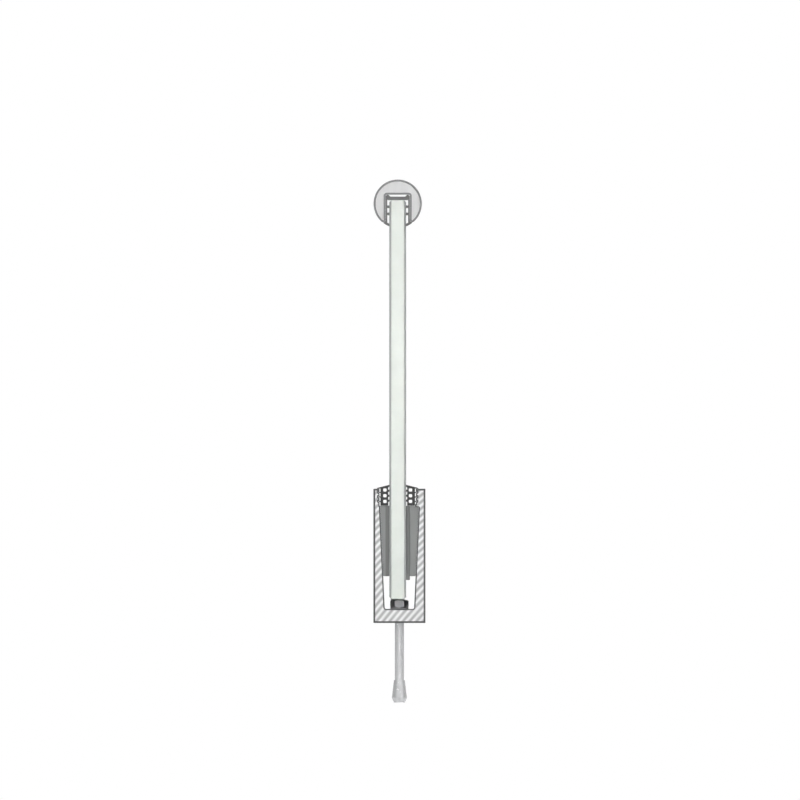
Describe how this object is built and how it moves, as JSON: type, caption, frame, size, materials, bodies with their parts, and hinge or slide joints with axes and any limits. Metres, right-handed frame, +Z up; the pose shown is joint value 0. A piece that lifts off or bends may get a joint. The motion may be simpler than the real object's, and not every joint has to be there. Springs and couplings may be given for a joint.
{
  "type": "glass balustrade handrail",
  "caption": "Run of glass balustrade: a slotted round handrail pressed over the edge of a pane that is clamped in a channel shoe anchored to the floor.",
  "frame": {"origin": "middle of the base shoe's underside, on the surface that the shoe is bolted to", "axes": "+X across the glass, towards the side of the clamp wedges; +Y along the run; +Z up"},
  "size_m": [0.052, 0.6, 0.5229],
  "materials": {
    "tube_steel": "brushed stainless steel",
    "plug_plastic": "light grey moulded plastic",
    "rail_rubber": "matt extruded rubber",
    "glass": "polished laminated glass with a faint green tint",
    "shoe_aluminium": "satin anodised extrusion with sawn ends",
    "gasket_rubber": "matt extruded rubber",
    "clamp_plastic": "moulded grey plastic",
    "block_plastic": "pale moulded plastic",
    "anchor_steel": "bright zinc plating"
  },
  "bodies": {
    "root": {"handrail_tube": "tube_steel", "rail_end_plug_1": "plug_plastic", "rail_end_plug_2": "plug_plastic", "rail_gasket": "rail_rubber", "glass_pane": "glass", "base_shoe": "shoe_aluminium", "outer_top_gasket": "gasket_rubber", "inner_top_gasket": "gasket_rubber", "fixed_insert_1": "clamp_plastic", "fixed_insert_2": "clamp_plastic", "fixed_insert_3": "clamp_plastic", "glass_pad_1": "clamp_plastic", "glass_pad_2": "clamp_plastic", "glass_pad_3": "clamp_plastic", "clamp_wedge_1": "clamp_plastic", "clamp_wedge_2": "clamp_plastic", "clamp_wedge_3": "clamp_plastic", "setting_block_1": "block_plastic", "setting_block_2": "block_plastic", "anchor_bolt_1": "anchor_steel", "anchor_bolt_2": "anchor_steel", "anchor_bolt_3": "anchor_steel", "anchor_washer_1": "anchor_steel", "anchor_washer_2": "anchor_steel", "anchor_washer_3": "anchor_steel", "expansion_sleeve_1": "anchor_steel", "expansion_sleeve_2": "anchor_steel", "expansion_sleeve_3": "anchor_steel", "cone_nut_1": "anchor_steel", "cone_nut_2": "anchor_steel", "cone_nut_3": "anchor_steel"}
  },
  "joints": []
}
